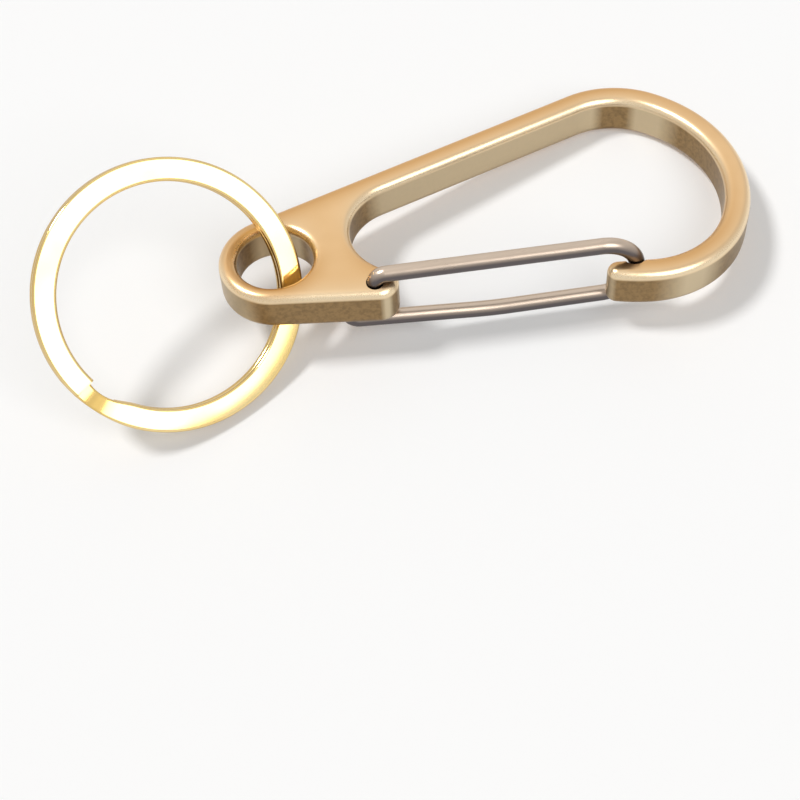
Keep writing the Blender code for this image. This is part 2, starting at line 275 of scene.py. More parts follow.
@dataclass(frozen=True)
class SatinBrass:
    """Solid brass with satin faces, rounded edges polished by handling, and duller walls; the upper edges also carry a
    painted highlight, the far rims a painted shade, the lower edges the wall's colour as painted shade, and the walls
    are darker or lighter by the way they face.
    """

    face: Colour = (0.84, 0.555, 0.285)
    face_shade: Colour = (0.80, 0.52, 0.26)
    # Cream of the polished edges, which also stands for their painted highlight
    edge: Colour = (0.93, 0.77, 0.53)
    # Painted shade along rims that turn to the far side, fading across the face from them
    deep: Colour = (0.66, 0.37, 0.14)
    # Duller wall colour; the lower rounded edges take it too, as painted shade
    wall: Colour = (0.60, 0.49, 0.325)
    # Darker wall colour, laid on walls by the way they face
    facing_dark: Colour = (0.30, 0.195, 0.09)
    face_roughness: float = 0.33
    edge_roughness: float = 0.27
    wall_roughness: float = 0.38
    edge_share: float = 0.75
    far_shade_share: float = 0.85
    cloud_per_mm: float = 0.18
    cloud_band: Band = (0.3, 0.7)
    cloud_roughness: float = 0.04
    grain_per_mm: float = 9.0
    grain_roughness: float = 0.10
    grain_depth: float = 0.00001
    grain_strength: float = 0.3
    mottle_per_mm: float = 1.9
    mottle_band: Band = (0.35, 0.7)
    mottle_shade: Colour = (0.13, 0.085, 0.045)
    mottle_share: float = 0.45

    def material(self) -> bpy.types.Material:
        """Material of the finish.

        Returns:
            The new material.
        """
        sheet = Sheet.for_material(Slot.BRASS.value)
        place = sheet.place()
        edge, wall, facing_dark, deep = (sheet.stored(mark) for mark in BODY_MARKS)
        cloud = sheet.noise(place, self.cloud_per_mm)
        grain = sheet.noise(place, self.grain_per_mm)
        mottle = sheet.within(sheet.noise(place, self.mottle_per_mm), self.mottle_band)
        # Darker wall colour with random mottle, used where walls are darkened by the way they face
        dark = sheet.mixed(mottle * self.mottle_share, self.facing_dark, self.mottle_shade)
        colour = sheet.mixed(sheet.within(cloud, self.cloud_band), self.face, self.face_shade)
        # Walls, and the lower rounded edges as painted shade, take the wall colour, darker by the way each wall faces
        colour = sheet.mixed(wall, colour, sheet.mixed(facing_dark, self.wall, dark))
        # Upper edges: polish with a painted highlight, also spread onto the faces near the near rims
        colour = sheet.mixed(edge * self.edge_share, colour, self.edge)
        # Painted shade along the far rims
        colour = sheet.mixed(deep * self.far_shade_share, colour, self.deep)
        rough = self.face_roughness + wall * (self.wall_roughness - self.face_roughness)
        rough = rough - edge * (self.face_roughness - self.edge_roughness)
        rough = rough + (cloud - NOISE_MIDDLE) * self.cloud_roughness + (grain - NOISE_MIDDLE) * self.grain_roughness
        sheet.metal(colour, rough, grain, self.grain_depth, self.grain_strength)
        return sheet.owner


@dataclass(frozen=True)
class DrawnSteel:
    """Stainless wire with faint lines from the drawing die, and a painted shade on its underside."""

    base: Colour = (0.63, 0.51, 0.405)
    dull: Colour = (0.59, 0.48, 0.385)
    # Painted shade on the wire's underside
    underside_shade: Colour = (0.12, 0.105, 0.105)
    roughness: float = 0.29
    line_per_mm: Triple = (0.04, 6.0, 6.0)
    line_band: Band = (0.4, 0.75)
    line_roughness: float = 0.05
    line_depth: float = 0.000002
    line_strength: float = 0.03
    cloud_per_mm: float = 0.5
    cloud_roughness: float = 0.06

    def material(self) -> bpy.types.Material:
        """Material of the finish.

        Returns:
            The new material.
        """
        sheet = Sheet.for_material(Slot.STEEL.value)
        place = sheet.place()
        lines = sheet.noise(place, self.line_per_mm)
        cloud = sheet.noise(place, self.cloud_per_mm)
        colour = sheet.mixed(sheet.within(lines, self.line_band), self.base, self.dull)
        # Painted shade on the underside
        colour = sheet.mixed(sheet.stored(Mark.UNDERSIDE_SHADE), colour, self.underside_shade)
        rough = self.roughness + (lines - NOISE_MIDDLE) * self.line_roughness
        rough = rough + (cloud - NOISE_MIDDLE) * self.cloud_roughness
        sheet.metal(colour, rough, lines, self.line_depth, self.line_strength)
        return sheet.owner


@dataclass(frozen=True)
class GoldPlate:
    """Polished gold plate on steel strip, with hairlines that run round the ring, and a painted shade on the strip's
    sides.
    """

    base: Colour = (0.95, 0.74, 0.36)
    deep: Colour = (0.92, 0.67, 0.27)
    # Painted shade on the strip's sides
    side: Colour = (0.62, 0.42, 0.15)
    crank: Colour = (0.90, 0.62, 0.20)
    roughness: float = 0.08
    side_roughness: float = 0.22
    crank_roughness: float = 0.30
    hair_per_mm: float = 14.0
    hair_roughness: float = 0.05
    hair_depth: float = 0.000002
    hair_strength: float = 0.15
    cloud_per_mm: float = 0.12
    cloud_band: Band = (0.3, 0.7)
    cloud_roughness: float = 0.03

    def material(self) -> bpy.types.Material:
        """Material of the finish.

        Returns:
            The new material.
        """
        sheet = Sheet.for_material(Slot.GOLD.value)
        place = sheet.place()
        flat = sheet.node("ShaderNodeVectorMath", {"operation": "MULTIPLY"}, {0: place, 1: Vector((1, 1, 0))})
        reach = sheet.node("ShaderNodeVectorMath", {"operation": "LENGTH"}, {0: flat}, "Value")
        level = sheet.node("ShaderNodeSeparateXYZ", {}, {0: place}, "Z")
        hairs = sheet.noise(sheet.node("ShaderNodeCombineXYZ", {}, {0: reach, 1: level}), self.hair_per_mm)
        cloud = sheet.noise(place, self.cloud_per_mm)
        side, crank = sheet.stored(Mark.SIDE), sheet.stored(Mark.CRANK)
        colour = sheet.mixed(sheet.within(cloud, self.cloud_band), self.base, self.deep)
        # Strip sides take the painted shade colour
        colour = sheet.mixed(side, sheet.mixed(crank, colour, self.crank), self.side)
        rough = self.roughness + side * (self.side_roughness - self.roughness)
        rough = rough + crank * (self.crank_roughness - self.roughness)
        rough = rough + (hairs - NOISE_MIDDLE) * self.hair_roughness
        rough = rough + (cloud - NOISE_MIDDLE) * self.cloud_roughness
        sheet.metal(colour, rough, hairs, self.hair_depth, self.hair_strength)
        return sheet.owner


# Drawing tools


class Arc(NamedTuple):
    """Arc of an outline, from one direction to another as seen from its centre."""

    centre: Vector
    radius: float
    start: float
    end: float

    def points(self, step: float) -> list[Vector]:
        """Points along the arc, both ends included.

        Args:
            step: Largest turn between two points.

        Returns:
            The points in order.
        """
        count = max(1, math.ceil(abs(self.end - self.start) / step))
        angles = [self.start + (self.end - self.start) * i / count for i in range(count + 1)]
        return [self.centre + polar(angle, self.radius) for angle in angles]


def polar(angle: float, radius: float = 1.0) -> Vector:
    """Point in the plane at an angle and a distance from the origin."""
    return Vector((math.cos(math.radians(angle)), math.sin(math.radians(angle)))) * radius


def angle_of(vector: Vector) -> float:
    """Direction of a plane vector."""
    return math.degrees(math.atan2(vector.y, vector.x))


def between_stops(stops: Sequence[Stop], angle: float) -> float:
    """Value at an angle, along straight lines between stops.

    Args:
        stops: Angles in rising order, each with its value.
        angle: Angle to look up.

    Returns:
        The value there, which is the first stop's value outside the stops.
    """
    for (low, first), (high, second) in zip(stops, stops[1:]):
        if low <= angle <= high:
            return first + (second - first) * (angle - low) / (high - low)
    return stops[0][1]


def held(value: float) -> float:
    """Value kept between 0 and 1."""
    return min(max(value, 0.0), 1.0)


def share_of(band: Band, value: float) -> float:
    """How far a value has gone from a band's first number to its second, kept between 0 and 1."""
    return held((value - band[0]) / (band[1] - band[0]))


def fading(away: float) -> float:
    """1 at no distance, fading smoothly to 0 at a distance of 1."""
    return held(1 - away * away) ** 2


def store(mesh: bpy.types.Mesh, mark: Mark, numbers: Sequence[float]) -> None:
    """Store a number at each point of a mesh."""
    for value, number in zip(mesh.attributes.new(mark.value, "FLOAT", "POINT").data, numbers):
        value.value = number


def linked(name: str, data: bpy.types.ID) -> bpy.types.Object:
    """New object in the scene.

    Args:
        name: Name of the object.
        data: Its mesh, curve, light or camera.

    Returns:
        The object.
    """
    made = bpy.data.objects.new(name, data)
    bpy.context.scene.collection.objects.link(made)
    return made


@contextmanager
def edited(mesh: bpy.types.Mesh) -> Iterator[bmesh.types.BMesh]:
    """Open a mesh for changes, and write them back at the end.

    Args:
        mesh: Mesh to change.

    Yields:
        The mesh's shape.
    """
    shape = bmesh.new()
    shape.from_mesh(mesh)
    yield shape
    shape.to_mesh(mesh)
    shape.free()


def curve_of(name: str, loops: Sequence[Sequence[Vector]], closed: bool, flat: bool = False) -> bpy.types.Object:
    """Curve object through straight-sided loops of points.

    Args:
        name: Name of the object.
        loops: Points of each loop.
        closed: Whether each loop joins its end to its start.
        flat: Whether the loops bound a flat face.

    Returns:
        The curve, linked to the scene.
    """
    data = bpy.data.curves.new(name, "CURVE")
    data.dimensions = "2D" if flat else "3D"
    data.use_fill_caps = not flat
    for loop in loops:
        spline = data.splines.new("POLY")
        spline.points.add(len(loop) - 1)
        for point, place in zip(spline.points, loop):
            point.co = (*place.to_3d(), 1)
        spline.use_cyclic_u = closed
    return linked(name, data)


def mesh_from(source: bpy.types.Object) -> bpy.types.Object:
    """Mesh object in place of an object, with its modifiers applied and its caps joined to its sides.

    Args:
        source: Curve or mesh object at the origin, which is removed.

    Returns:
        The mesh object, linked to the scene.
    """
    bpy.context.view_layer.update()
    mesh = bpy.data.meshes.new_from_object(source.evaluated_get(bpy.context.evaluated_depsgraph_get()))
    with edited(mesh) as shape:
        bmesh.ops.remove_doubles(shape, verts=shape.verts, dist=WELD_DISTANCE)
        bmesh.ops.recalc_face_normals(shape, faces=shape.faces)
    name = source.name
    bpy.data.objects.remove(source)
    return linked(name, mesh)


def rounded_route(corners: Sequence[Vector], radii: Sequence[float], step: float) -> list[Vector]:
    """Route through corners in space, each rounded to its radius.

    Args:
        corners: Corners of the route, its ends included.
        radii: Radius at each inner corner.
        step: Largest turn between two points.

    Returns:
        Points along the route.
    """
    points = [corners[0]]
    for before, corner, after, radius in zip(corners, corners[1:], corners[2:], radii):
        into, out = (corner - before).normalized(), (after - corner).normalized()
        turn, axis = into.angle(out), into.cross(out)
        start = corner - into * radius * math.tan(turn / 2)
        centre = start + axis.cross(into).normalized() * radius
        count = max(1, math.ceil(math.degrees(turn) / step))
        turns = [Matrix.Rotation(turn * i / count, 3, axis) for i in range(count + 1)]
        points += [centre + rotation @ (start - centre) for rotation in turns]
    return [*points, corners[-1]]


def wire_along(name: str, points: Sequence[Vector], radius: float, rounding: int) -> bpy.types.Object:
    """Round wire along a route, as a mesh.

    Args:
        name: Name of the wire.
        points: Points along its middle.
        radius: Its radius.
        rounding: How finely its section is rounded.

    Returns:
        The wire's object.
    """
    curve = curve_of(name, [points], closed=False)
    curve.data.bevel_depth = radius
    curve.data.bevel_resolution = rounding
    return mesh_from(curve)


def cut(target: bpy.types.Object, cutters: Sequence[bpy.types.Object]) -> bpy.types.Object:
    """Take the cutters' shapes out of an object.

    Args:
        target: Object to cut, which is removed.
        cutters: Objects to cut with, which are removed.

    Returns:
        The cut mesh object.
    """
    for cutter in cutters:
        modifier = target.modifiers.new(cutter.name, "BOOLEAN")
        modifier.operation = "DIFFERENCE"
        modifier.object = cutter
    made = mesh_from(target)
    for cutter in cutters:
        bpy.data.objects.remove(cutter)
    return made


def set_off(piece: bpy.types.Object, body: Body, node: Node, finish: bpy.types.Material) -> None:
    """Give a piece its finish and shading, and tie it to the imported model.

    Args:
        piece: The fine piece, in place.
        body: Body that it rides on.
        node: Solid that it stands for.
        finish: Its material.
    """
    piece.data.materials.clear()
    piece.data.materials.append(finish)
    piece.data.shade_smooth()
    piece.data.set_sharp_from_angle(angle=math.radians(SHARP_ANGLE))
    weighted = piece.modifiers.new("Weighted normals", "WEIGHTED_NORMAL")
    weighted.keep_sharp = True
    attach(piece, body.value)
    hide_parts(node.value)
    LOG.info("%s: %d faces on body %s", piece.name, len(piece.data.polygons), body.value)


# Carabiner


class Rim(NamedTuple):
    """Point of a rim, the direction in which its wall looks, and how dark the wall is made by that direction."""

    point: Vector
    looks: Vector
    facing_dark: float


class RimFinder:
    """Rim points that are looked up by place."""

    def __init__(self, rims: Sequence[Rim]) -> None:
        """Set up the search tree.

        Args:
            rims: Rim points to look up.
        """
        self.rims = rims
        self.tree = KDTree(len(rims))
        for index, rim in enumerate(rims):
            self.tree.insert(rim.point.to_3d(), index)
        self.tree.balance()

    def nearest(self, place: Vector) -> Rim:
        """Rim point nearest to a place in the plane."""
        return self.rims[self.tree.find(place.to_3d())[1]]


@dataclass
class BrassBody:
    """Solid brass plate with the key eye, the spine, the hook end, the nose and the toe."""

    thickness: float = 0.005
    edge_rounding: float = 0.0010
    bar_width: float = 0.0029
    eye_radius: float = 0.0063
    eye_hole_radius: float = 0.00427
    spine_length: float = 0.0417
    spine_rise: float = 14.5
    bend: Bend = (0.0113, 54.5)
    end: Bend = (0.0172, 86.0)
    gate_bend: Bend = (0.0123, 65.0)
    nose: Bend = (0.0205, 11.0)
    nose_tip_radius: float = 0.00125
    crotch_radius: float = 0.0066
    crotch_from_eye: float = 0.0151
    toe_length: float = 0.0137
    toe_side_slope: float = -12.0
    toe_inner_corner_radius: float = 0.0012
    toe_outer_corner_radius: float = 0.0022
    tenon_from_side: float = 0.00184
    top_tenon_from_end: float = 0.0026
    tenon_offset: float = 0.0032
    face_mount: tuple[float, float] = (0.0072, -0.0030)
    # How dark the outer and the inner walls are, by the angle in which each looks
    outer_facing_dark: Sequence[Stop] = (
        (-135.0, 0.5),
        (-114.0, 1.0),
        (-100.0, 1.0),
        (-83.0, 0.0),
        (-73.0, 0.0),
        (-58.0, 0.9),
        (0.0, 0.6),
        (60.0, 0.5),
    )
    inner_facing_dark: Sequence[Stop] = (
        (-150.0, 1.0),
        (-138.0, 0.15),
        (-124.0, 0.15),
        (-116.0, 1.0),
        (-97.0, 1.0),
        (-88.0, 0.1),
        (-77.0, 0.1),
        (-72.0, 0.3),
        (-55.0, 1.0),
    )
    # Direction of the far side, away from the camera; far rims get painted shade, near rims painted highlight
    far_side: float = 94.0
    fade: float = 0.0024
    # How much painted highlight spreads onto the faces near the near rims
    near_face_highlight: float = 0.35
    upper_wall_fade: int = 2
    # How far up the lower rounded edge the wall colour reaches, as painted shade
    lower_edge_shade_fade: int = 4
    outline_step: float = 2.0
    longest_step: float = 0.0008
    least_step: float = 0.00002
    flat_limit: float = 0.999
    face_passes: int = 4
    eye_hole_sides: int = 128
    rounding_steps: int = 5
    finish: SatinBrass = field(default_factory=SatinBrass)

    def hook_arcs(self) -> list[Arc]:
        """Outer arcs of the hook end, each tangent to the one before.

        Returns:
            The arcs from the spine round to the nose.
        """
        normal = RIGHT_ANGLE + self.spine_rise
        point = polar(normal, self.eye_radius) + polar(self.spine_rise, self.spine_length)
        arcs = []
        for radius, sweep in (self.bend, self.end, self.gate_bend, self.nose):
            centre = point - polar(normal, radius)
            arcs.append(Arc(centre, radius, normal, normal - sweep))
            normal -= sweep
            point = centre + polar(normal, radius)
        return arcs

    def nose_face(self) -> tuple[Vector, float]:
        """Place of the nose's end.

        Returns:
            Centre of its rounded tip and the direction in which its inner face looks.
        """
        outer, bend = self.hook_arcs()[-1], self.hook_arcs()[-2]
        centre = outer.centre + polar(outer.end, outer.radius - self.nose_tip_radius)
        across = bend.centre - centre
        reach = self.nose_tip_radius + bend.radius - self.bar_width
        return centre, angle_of(across) + math.degrees(math.acos(reach / across.length))

    def crotch(self) -> Arc:
        """Small end of the opening.

        Returns:
            Its arc from the spine's inner face to the toe's inner corner.
        """
        up = RIGHT_ANGLE + self.spine_rise
        depth = self.eye_radius - self.bar_width - self.crotch_radius
        centre = polar(up, depth) + polar(self.spine_rise, self.crotch_from_eye)
        short = self.toe_length - self.toe_inner_corner_radius - centre.dot(polar(self.toe_side_slope))
        corner = math.acos(short / (self.crotch_radius + self.toe_inner_corner_radius))
        return Arc(centre, self.crotch_radius, up, self.toe_side_slope - math.degrees(corner) + FULL_TURN)

    def toe_corners(self) -> tuple[Arc, Arc]:
        """Rounded corners of the toe's end face.

        Returns:
            Arcs of the inner and the outer corner.
        """
        end, side = self.toe_side_slope, self.toe_side_slope - RIGHT_ANGLE
        small = self.crotch()
        inner_radius, outer_radius = self.toe_inner_corner_radius, self.toe_outer_corner_radius
        inner = small.centre + polar(small.end, small.radius + inner_radius)
        outer = polar(end, self.toe_length - outer_radius) + polar(side, self.eye_radius - outer_radius)
        return Arc(inner, inner_radius, small.end - FULL_TURN / 2, end), Arc(outer, outer_radius, end, side)

    def outline(self) -> tuple[list[Vector], list[Vector]]:
        """Closed outline, in two stretches.

        Returns:
            Points of the outside, from the toe round to the nose, and points of the opening.
        """
        bend, end, gate_bend, nose = self.hook_arcs()
        tip, face = self.nose_face()
        side = self.toe_side_slope - RIGHT_ANGLE
        eye = Arc(Vector((0, 0)), self.eye_radius, side, bend.start - FULL_TURN)
        tip_arc = Arc(tip, self.nose_tip_radius, nose.end, face - FULL_TURN)
        inner = [
            Arc(gate_bend.centre, gate_bend.radius - self.bar_width, face - FULL_TURN / 2, gate_bend.start),
            Arc(end.centre, end.radius - self.bar_width, end.end, end.start),
            Arc(bend.centre, bend.radius - self.bar_width, bend.end, bend.start),
        ]
        inner_corner, outer_corner = self.toe_corners()
        outside = self.joined((outer_corner, eye, bend, end, gate_bend, nose, tip_arc))
        return outside, self.joined((*inner, self.crotch(), inner_corner))

    def joined(self, arcs: Sequence[Arc]) -> list[Vector]:
        """Points along arcs and the straight lines between them, without doubles.

        Args:
            arcs: Arcs that follow each other.

        Returns:
            The points in order.
        """
        points = [arcs[0].points(self.outline_step)[0]]
        for point in (point for arc in arcs for point in arc.points(self.outline_step)):
            last = points[-1]
            way = (point - last).length
            if way > self.least_step:
                count = math.ceil(way / self.longest_step)
                points += [last.lerp(point, (i + 1) / count) for i in range(count)]
        return points

    def tenon_places(self) -> tuple[Vector, Vector]:
        """Plan positions of the gate's tenons in the toe.

        Returns:
            Positions of the top and the bottom tenon.
        """
        along, across = polar(self.toe_side_slope), polar(self.toe_side_slope - RIGHT_ANGLE)
        top = along * (self.toe_length - self.top_tenon_from_end) + across * (self.eye_radius - self.tenon_from_side)
        return top, top - along * self.tenon_offset

    def plate(self) -> bpy.types.Object:
        """Plate with rounded edges and the key eye.

        Returns:
            The plate's object.
        """
        outside, inside = self.outline()
        curve = curve_of("brass_body", [outside + inside, self.eye_hole()], closed=True, flat=True)
        curve.data.fill_mode = "BOTH"
        curve.data.extrude = self.thickness / 2 - self.edge_rounding
        curve.data.bevel_depth = self.edge_rounding
        curve.data.bevel_resolution = self.rounding_steps
        curve.data.offset = -self.edge_rounding
        return mesh_from(curve)

    def eye_hole(self) -> list[Vector]:
        """Points round the key eye."""
        count = self.eye_hole_sides
        return [polar(FULL_TURN * i / count, self.eye_hole_radius) for i in range(count)]

    def rims(self) -> list[Rim]:
        """Rims of the outline and of the eye's hole.

        Returns:
            A rim point at each of their points.
        """
        outside, inside = self.outline()
        outline, hole = outside + inside, self.eye_hole()
        rims = []
        for index, point in enumerate(outline):
            before, after = outline[index - 1], outline[(index + 1) % len(outline)]
            along = (point - before).normalized() + (after - point).normalized()
            looks = Vector((-along.y, along.x)).normalized()
            stops = self.outer_facing_dark if index < len(outside) else self.inner_facing_dark
            rims.append(Rim(point, looks, between_stops(stops, angle_of(looks))))
        return rims + [Rim(p, -p.normalized(), between_stops(self.inner_facing_dark, angle_of(-p))) for p in hole]

    def is_flat(self, face: bmesh.types.BMFace) -> bool:
        """Whether a face lies on one of the two flat sides."""
        return abs(face.normal.z) > self.flat_limit

    def flat_faces(self, shape: bmesh.types.BMesh) -> list[bmesh.types.BMFace]:
        """Faces on the two flat sides."""
        return [face for face in shape.faces if self.is_flat(face)]

    def flat_edges(self, shape: bmesh.types.BMesh) -> list[bmesh.types.BMEdge]:
        """Edges between faces on the two flat sides."""
        return [edge for edge in shape.edges if all(self.is_flat(face) for face in edge.link_faces)]

    def refine(self, mesh: bpy.types.Mesh) -> None:
        """Split the two flat sides into small triangles, so that marks can fade across them.

        Args:
            mesh: The body's finished mesh.
        """
        with edited(mesh) as shape:
            bmesh.ops.triangulate(shape, faces=self.flat_faces(shape))
            for _ in range(self.face_passes):
                bmesh.ops.beautify_fill(shape, faces=self.flat_faces(shape), edges=self.flat_edges(shape))
                long = [edge for edge in self.flat_edges(shape) if edge.calc_length() > self.longest_step]
                bmesh.ops.subdivide_edges(shape, edges=long, cuts=1)
                bmesh.ops.triangulate(shape, faces=self.flat_faces(shape))
            bmesh.ops.dissolve_degenerate(shape, dist=WELD_DISTANCE, edges=shape.edges)

    def mark(self, mesh: bpy.types.Mesh) -> None:
        """Store at each point the edge polish and painted highlight, the wall, how dark the wall is by the way it
        faces, and the painted shade of the far rims.

        Only the upper side gets the painted highlight and the far rims' painted shade. The lower rounded edge takes
        the wall's colour as painted shade.

        Args:
            mesh: The body's finished mesh.
        """
        rims = self.rims()
        around, far_rims, near_rims = (
            RimFinder([rim for rim in rims if low <= self.to_far_side(rim) <= high])
            for low, high in ((-1.0, 1.0), (0.0, 1.0), (-1.0, 0.0))
        )
        rows = []
        for vertex in mesh.vertices:
            place, upper = vertex.co.xy, vertex.co.z > 0
            rise = held((abs(vertex.co.z) - self.thickness / 2) / self.edge_rounding + 1)
            crest = 4 * rise * (1 - rise)  # 1 halfway up the rounded edge, 0 at both its ends
            rim = around.nearest(place)
            # far: painted shade from rims turned to the far side; near: painted highlight from rims turned the other
            # way
            far, near = (self.reach(finder.nearest(place), place) * rise for finder in (far_rims, near_rims))
            # Polish with painted highlight on the upper edges, less on far rims, plus painted highlight on faces near
            # the near rims
            edge = crest * min(1.0, 1 - self.to_far_side(rim)) + self.near_face_highlight * near
            # On the lower side the wall colour covers most of the rounded edge, as painted shade
            wall = (1 - rise) ** self.upper_wall_fade if upper else 1 - rise**self.lower_edge_shade_fade
            rows.append((edge if upper else 0.0, wall, rim.facing_dark, far if upper else 0.0))
        for mark, numbers in zip(BODY_MARKS, zip(*rows)):
            store(mesh, mark, numbers)

    def to_far_side(self, rim: Rim) -> float:
        """How far a rim turns to the far side: 1 towards it, -1 away from it."""
        return rim.looks.dot(polar(self.far_side))

    def reach(self, rim: Rim, place: Vector) -> float:
        """How strongly a rim shows at a place: by how far it turns to or from the far side, fading inwards."""
        inset = abs((place - rim.point).dot(rim.looks)) - self.edge_rounding
        return abs(self.to_far_side(rim)) * held(1 - inset / self.fade) ** 2

    def build(self, gate: "WireGate") -> bpy.types.Object:
        """Cut and finished body.

        Args:
            gate: Gate whose tenons and loop the body makes room for.

        Returns:
            The body's object, in its own frame.
        """
        body = cut(self.plate(), gate.cutters())
        self.refine(body.data)
        self.mark(body.data)
        return body

    def dress(self, body: bpy.types.Object) -> None:
        """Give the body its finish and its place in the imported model."""
        set_off(body, Body.FRAME, Node.FRAME, self.finish.material())


@dataclass
class WireGate:
    """Long loop of spring wire whose two ends turn into the toe's holes."""

    body: BrassBody
    wire_radius: float = 0.0009
    top_leg_clearance: float = 0.00015
    bottom_leg_clearance: float = 0.00025
    tenon_length: float = 0.0012
    tenon_clearance: float = 0.00035
    tenon_bend_radius: float = 0.0013
    loop_top: float = 0.0051
    loop_bottom: float = 0.0032
    bottom_leg_bow: float = 0.0007
    bottom_leg_bend_radius: float = 0.040
    loop_bend_radius: float = 0.0039
    loop_past_tip: float = 0.0022
    loop_twist: float = 0.0003
    notch_depth: float = 0.00114
    notch_clearance: float = 0.00035
    notch_share: float = 0.25
    hole_fit: float = 0.00007
    hole_swings: Sequence[float] = (0.0, 10.0, 20.0)
    notch_fit: float = 0.00018
    wire_step: float = 3.0
    wire_rounding: int = 12
    hole_sides: int = 64
    # Upward normal at which the painted underside shade starts and where it is full
    underside_shade: Band = (0.82, 0.28)
    finish: DrawnSteel = field(default_factory=DrawnSteel)

    def corners(self) -> list[Vector]:
        """Corners of the wire's route.

        Returns:
            The corners from the top tenon round the loop to the bottom tenon.
        """
        tip, face = self.body.nose_face()
        half = self.body.thickness / 2
        off_face = self.body.nose_tip_radius - self.notch_depth + self.notch_clearance + self.wire_radius
        loop = tip + polar(face, off_face) + polar(face - RIGHT_ANGLE, self.loop_past_tip)
        twist = polar(face, self.loop_twist)
        above = half + self.top_leg_clearance + self.wire_radius
        below = half + self.bottom_leg_clearance + self.wire_radius
        tenon_end = half - self.tenon_length
        top, bottom = self.body.tenon_places()
        middle = (loop + twist + bottom) / 2
        return [
            Vector((*top, tenon_end)),
            Vector((*top, above)),
            Vector((*(loop - twist), self.loop_top)),
            Vector((*(loop + twist), -self.loop_bottom)),
            Vector((*middle, -(self.loop_bottom + below) / 2 - self.bottom_leg_bow)),
            Vector((*bottom, -below)),
            Vector((*bottom, -tenon_end)),
        ]

    def swing(self, angle: float) -> Matrix:
        """Turn of the gate about the line through the middles of its tenons.

        Args:
            angle: How far the gate swings into the hook.

        Returns:
            Matrix of the turn, in the body's frame.
        """
        middle = self.body.thickness / 2 - self.tenon_length / 2
        top, bottom = (Vector((*place, z)) for place, z in zip(self.body.tenon_places(), (middle, -middle)))
        turn = Matrix.Rotation(math.radians(angle), 4, top - bottom)
        return Matrix.Translation(top) @ turn @ Matrix.Translation(-top)

    def tenon_hole(self, place: Vector, side: int, angle: float) -> bpy.types.Object:
        """Cutter for a blind hole, along the tenon as it lies when the gate has swung.

        Args:
            place: Its plan position.
            side: 1 for the top face, -1 for the bottom face.
            angle: How far the gate has swung.

        Returns:
            The cutter's object.
        """
        depth = self.tenon_length + self.tenon_clearance + CUT_OVERRUN
        radius = self.wire_radius + self.hole_fit
        mesh = bpy.data.meshes.new("tenon_hole")
        with edited(mesh) as shape:
            bmesh.ops.create_cone(
                shape, cap_ends=True, segments=self.hole_sides, radius1=radius, radius2=radius, depth=depth
            )
        made = linked("tenon_hole", mesh)
        middle = Matrix.Translation((*place, side * (self.body.thickness / 2 + CUT_OVERRUN - depth / 2)))
        made.matrix_world = self.swing(angle) @ middle
        return made

    def loop_notch(self) -> bpy.types.Object:
        """Cutter for the notch in the nose: the loop's route with a clearance round it.

        Returns:
            The cutter's object.
        """
        _, top_leg, upper, lower, bottom_leg, *_ = self.corners()
        before, after = upper.lerp(top_leg, self.notch_share), lower.lerp(bottom_leg, self.notch_share)
        route = rounded_route([before, upper, lower, after], (self.loop_bend_radius,) * 2, self.wire_step)
        return wire_along("loop_notch", route, self.wire_radius + self.notch_fit, self.wire_rounding)

    def cutters(self) -> list[bpy.types.Object]:
        """Shapes to cut out of the body, so that the wire has room at rest and through its swing.

        Returns:
            Cutters for the notch and for both holes.
        """
        top, bottom = self.body.tenon_places()
        made = [self.loop_notch()]
        for angle in self.hole_swings:
            made += [self.tenon_hole(top, 1, angle), self.tenon_hole(bottom, -1, angle)]
        return made

    def build(self) -> bpy.types.Object:
        """Finished wire.

        Returns:
            The wire's object, in the body's frame.
        """
        loop = (self.loop_bend_radius,) * 2
        radii = (self.tenon_bend_radius, *loop, self.bottom_leg_bend_radius, self.tenon_bend_radius)
        route = rounded_route(self.corners(), radii, self.wire_step)
        wire = wire_along("spring_wire", route, self.wire_radius, self.wire_rounding)
        # Painted shade, stronger where the wire faces down
        store(wire.data, Mark.UNDERSIDE_SHADE, [share_of(self.underside_shade, v.normal.z) for v in wire.data.vertices])
        return wire

    def dress(self, wire: bpy.types.Object) -> None:
        """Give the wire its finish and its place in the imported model."""
        set_off(wire, Body.GATE, Node.GATE, self.finish.material())


